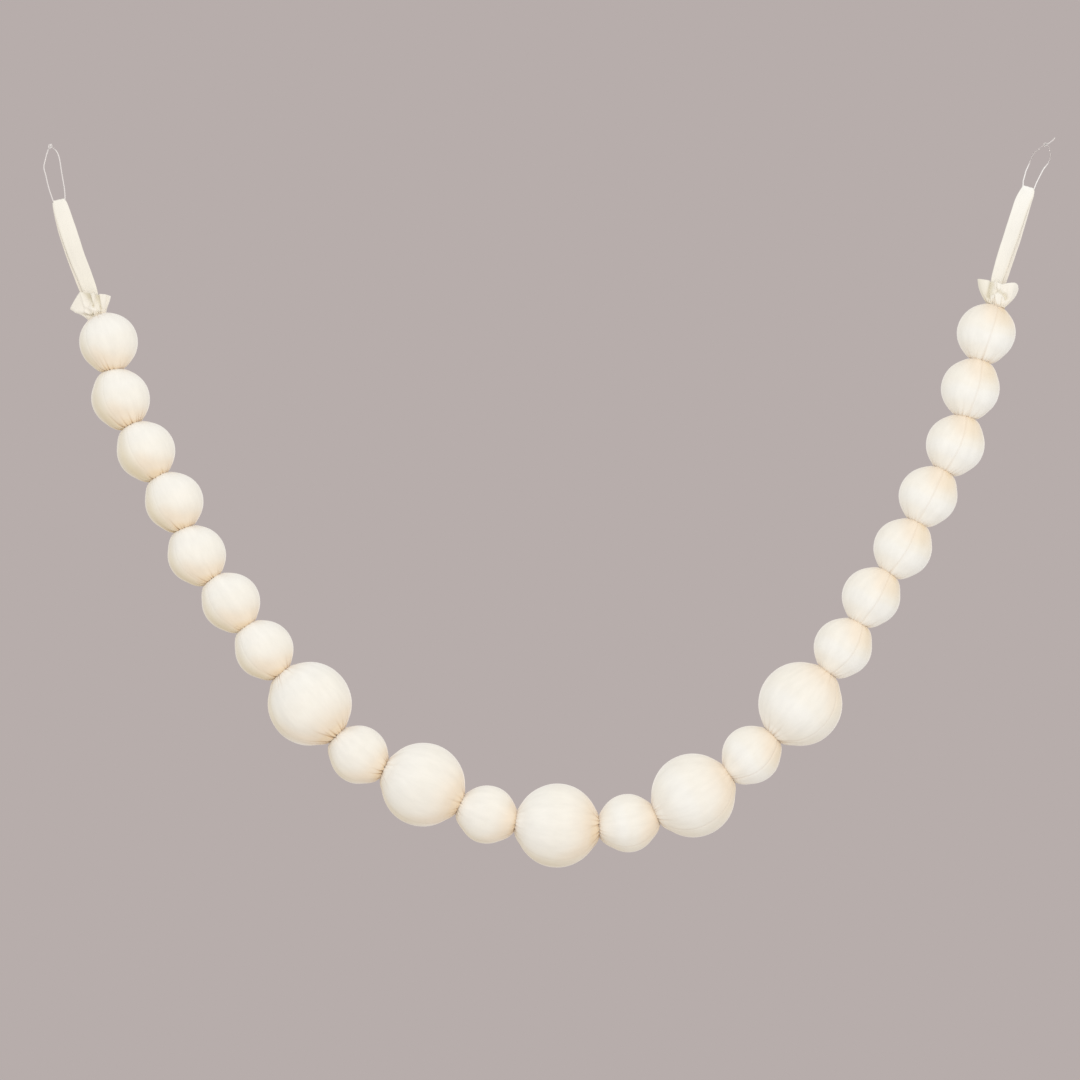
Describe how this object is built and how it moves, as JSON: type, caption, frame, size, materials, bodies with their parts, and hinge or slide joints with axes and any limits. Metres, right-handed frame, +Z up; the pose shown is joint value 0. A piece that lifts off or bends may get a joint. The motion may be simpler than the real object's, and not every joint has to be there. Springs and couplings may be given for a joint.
{
  "type": "velvet ball garland",
  "caption": "Swag of cream velvet balls, small at the ends and alternating large and small in the middle, with a gathered frill, folded strap and clear hanging loop at each end.",
  "frame": {"origin": "midway between the two points that the garland hangs from", "axes": "+X from the left end to the right end, +Y away from the viewer towards the wall, +Z up; the garland hangs in the plane Y = 0"},
  "size_m": [1.0295, 0.085, 0.7425],
  "materials": {
    "velvet": "short-pile cream velvet with a soft sheen, its nap lying along the tube",
    "tie_thread": "matt twisted sewing thread",
    "nylon": "clear nylon thread"
  },
  "bodies": {
    "root": {"ball_01": "velvet", "ball_02": "velvet", "ball_03": "velvet", "ball_04": "velvet", "ball_05": "velvet", "ball_06": "velvet", "ball_07": "velvet", "ball_08": "velvet", "ball_09": "velvet", "ball_10": "velvet", "ball_11": "velvet", "ball_12": "velvet", "ball_13": "velvet", "ball_14": "velvet", "ball_15": "velvet", "ball_16": "velvet", "ball_17": "velvet", "ball_18": "velvet", "ball_19": "velvet", "ball_20": "velvet", "ball_21": "velvet", "ball_22": "velvet", "ball_23": "velvet", "tie_01": "tie_thread", "tie_02": "tie_thread", "tie_03": "tie_thread", "tie_04": "tie_thread", "tie_05": "tie_thread", "tie_06": "tie_thread", "tie_07": "tie_thread", "tie_08": "tie_thread", "tie_09": "tie_thread", "tie_10": "tie_thread", "tie_11": "tie_thread", "tie_12": "tie_thread", "tie_13": "tie_thread", "tie_14": "tie_thread", "tie_15": "tie_thread", "tie_16": "tie_thread", "tie_17": "tie_thread", "tie_18": "tie_thread", "tie_19": "tie_thread", "tie_20": "tie_thread", "tie_21": "tie_thread", "tie_22": "tie_thread", "tie_23": "tie_thread", "tie_24": "tie_thread", "frill_left": "velvet", "strap_left": "velvet", "loop_left": "nylon", "frill_right": "velvet", "strap_right": "velvet", "loop_right": "nylon"}
  },
  "joints": []
}
